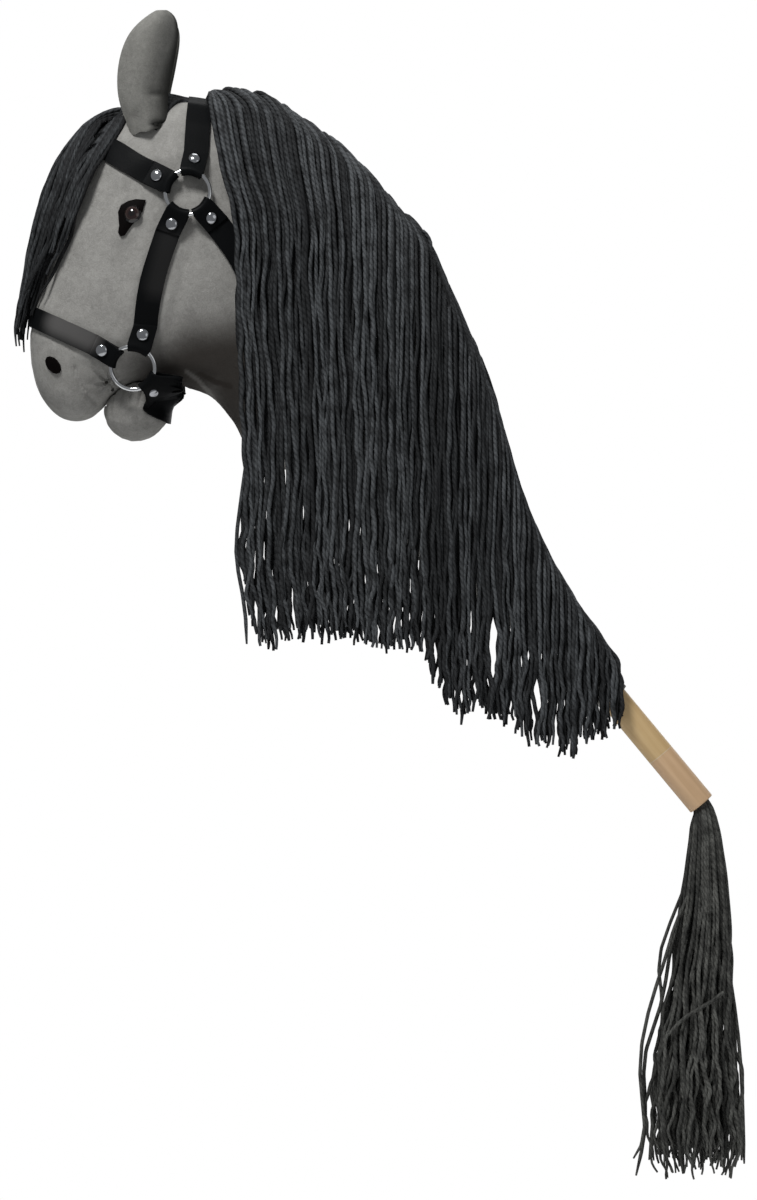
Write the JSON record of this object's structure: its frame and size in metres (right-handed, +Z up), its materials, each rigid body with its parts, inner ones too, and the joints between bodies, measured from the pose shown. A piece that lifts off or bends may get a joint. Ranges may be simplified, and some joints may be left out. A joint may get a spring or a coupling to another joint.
{
  "type": "hobby horse",
  "caption": "Stuffed felt horse head on a round wooden stick, with a leather halter on steel rings and a lifting yarn mane, forelock and tail.",
  "frame": {"origin": "on the stick's axis at the joint line between its two lengths, where the hand holds it", "axes": "+Z up as the horse is shown, -X the way it looks, -Y its left side, which carries the mane; the stick slants 50.3 degrees down towards +X"},
  "size_m": [0.743, 0.1451, 1.1732],
  "materials": {
    "felt": "mid grey wool felt, matt, with a short nap",
    "stuffing": "white polyester filling, not seen",
    "wood": "pale softwood dowel, fine straight grain, thin satin varnish",
    "leather": "black grained leather, satin, stitched near its edges",
    "chrome": "polished nickel-coloured plating",
    "yarn": "black chunky two-ply yarn, soft, matt",
    "eye": "glossy dark brown dome",
    "thread": "black waxed cord, not seen",
    "tape": "black woven cotton tape, not seen"
  },
  "bodies": {
    "head_and_stick": {"stick_upper": "wood", "stick_lower": "wood", "stick_pin": "wood", "tail_root": "yarn", "skin_panel_left": "felt", "skin_panel_right": "felt", "head_stuffing": "stuffing", "neck_stuffing": "stuffing", "neck_tie": "thread", "lower_jaw": "felt", "ear_left": "felt", "ear_right": "felt", "eye_patch_left": "leather", "eye_patch_right": "leather", "nostril_left": "leather", "nostril_right": "leather", "eye_left": "eye", "eye_right": "eye", "crown_strap": "leather", "browband": "leather", "noseband": "leather", "chin_strap": "leather", "throat_latch": "leather", "cheek_strap_left": "leather", "cheek_strap_right": "leather", "rivet_crown_left": "chrome", "rivet_crown_right": "chrome", "rivet_browband_left": "chrome", "rivet_browband_right": "chrome", "rivet_noseband_left": "chrome", "rivet_noseband_right": "chrome", "rivet_chin_left": "chrome", "rivet_chin_right": "chrome", "rivet_throat_left": "chrome", "rivet_throat_right": "chrome", "rivet_cheek_top_left": "chrome", "rivet_cheek_top_right": "chrome", "rivet_cheek_foot_left": "chrome", "rivet_cheek_foot_right": "chrome", "mane_tape": "tape"},
    "ring_upper_left": {"upper_ring_left": "chrome"},
    "ring_upper_right": {"upper_ring_right": "chrome"},
    "ring_lower_left": {"lower_ring_left": "chrome"},
    "ring_lower_right": {"lower_ring_right": "chrome"},
    "mane_1": {"mane_lock_1": "yarn"},
    "mane_2": {"mane_lock_2": "yarn"},
    "mane_3": {"mane_lock_3": "yarn"},
    "mane_4": {"mane_lock_4": "yarn"},
    "mane_5": {"mane_lock_5": "yarn"},
    "mane_6": {"mane_lock_6": "yarn"},
    "forelock": {"forelock": "yarn"},
    "tail": {"tail": "yarn"}
  },
  "joints": [
    {"name": "ring_upper_left_spin", "type": "hinge", "parent": "head_and_stick", "child": "ring_upper_left", "pos_m": [-0.475, -0.06221, 0.563], "axis": [-0.0199, -0.9948, 0.0995], "continuous": true},
    {"name": "ring_upper_right_spin", "type": "hinge", "parent": "head_and_stick", "child": "ring_upper_right", "pos_m": [-0.475, 0.06221, 0.563], "axis": [-0.0199, 0.9948, 0.0995], "continuous": true},
    {"name": "ring_lower_left_spin", "type": "hinge", "parent": "head_and_stick", "child": "ring_lower_left", "pos_m": [-0.53, -0.05464, 0.388], "axis": [-0.0953, -0.9535, -0.286], "continuous": true},
    {"name": "ring_lower_right_spin", "type": "hinge", "parent": "head_and_stick", "child": "ring_lower_right", "pos_m": [-0.53, 0.05464, 0.388], "axis": [-0.0953, 0.9535, -0.286], "continuous": true},
    {"name": "mane_lift_1", "type": "hinge", "parent": "head_and_stick", "child": "mane_1", "pos_m": [-0.4245, 0, 0.6589], "axis": [-0.9825, 0, 0.186], "range_deg": [0, 40]},
    {"name": "mane_lift_2", "type": "hinge", "parent": "head_and_stick", "child": "mane_2", "pos_m": [-0.36, 0, 0.6333], "axis": [-0.8511, 0, 0.5251], "range_deg": [0, 40]},
    {"name": "mane_lift_3", "type": "hinge", "parent": "head_and_stick", "child": "mane_3", "pos_m": [-0.295, 0, 0.5774], "axis": [-0.6672, 0, 0.7449], "range_deg": [0, 40]},
    {"name": "mane_lift_4", "type": "hinge", "parent": "head_and_stick", "child": "mane_4", "pos_m": [-0.227, 0, 0.4693], "axis": [-0.4346, 0, 0.9006], "range_deg": [0, 40]},
    {"name": "mane_lift_5", "type": "hinge", "parent": "head_and_stick", "child": "mane_5", "pos_m": [-0.1525, 0, 0.2952], "axis": [-0.4251, 0, 0.9051], "range_deg": [0, 40]},
    {"name": "mane_lift_6", "type": "hinge", "parent": "head_and_stick", "child": "mane_6", "pos_m": [-0.0745, 0, 0.136], "axis": [-0.4651, 0, 0.8853], "range_deg": [0, 40]},
    {"name": "forelock_lift", "type": "hinge", "parent": "head_and_stick", "child": "forelock", "pos_m": [-0.55, 0, 0.645], "axis": [0, 1, 0], "range_deg": [0, 70]},
    {"name": "tail_swing", "type": "hinge", "parent": "head_and_stick", "child": "tail", "pos_m": [0.0412, 0, -0.06063], "axis": [0, 1, 0], "range_deg": [-90, 30]}
  ],
  "couplings": [
    {"joint": "mane_lift_1", "follows": "mane_lift_2", "ratio": 1},
    {"joint": "mane_lift_3", "follows": "mane_lift_2", "ratio": 1},
    {"joint": "mane_lift_4", "follows": "mane_lift_2", "ratio": 1},
    {"joint": "mane_lift_5", "follows": "mane_lift_2", "ratio": 1},
    {"joint": "mane_lift_6", "follows": "mane_lift_2", "ratio": 1}
  ]
}
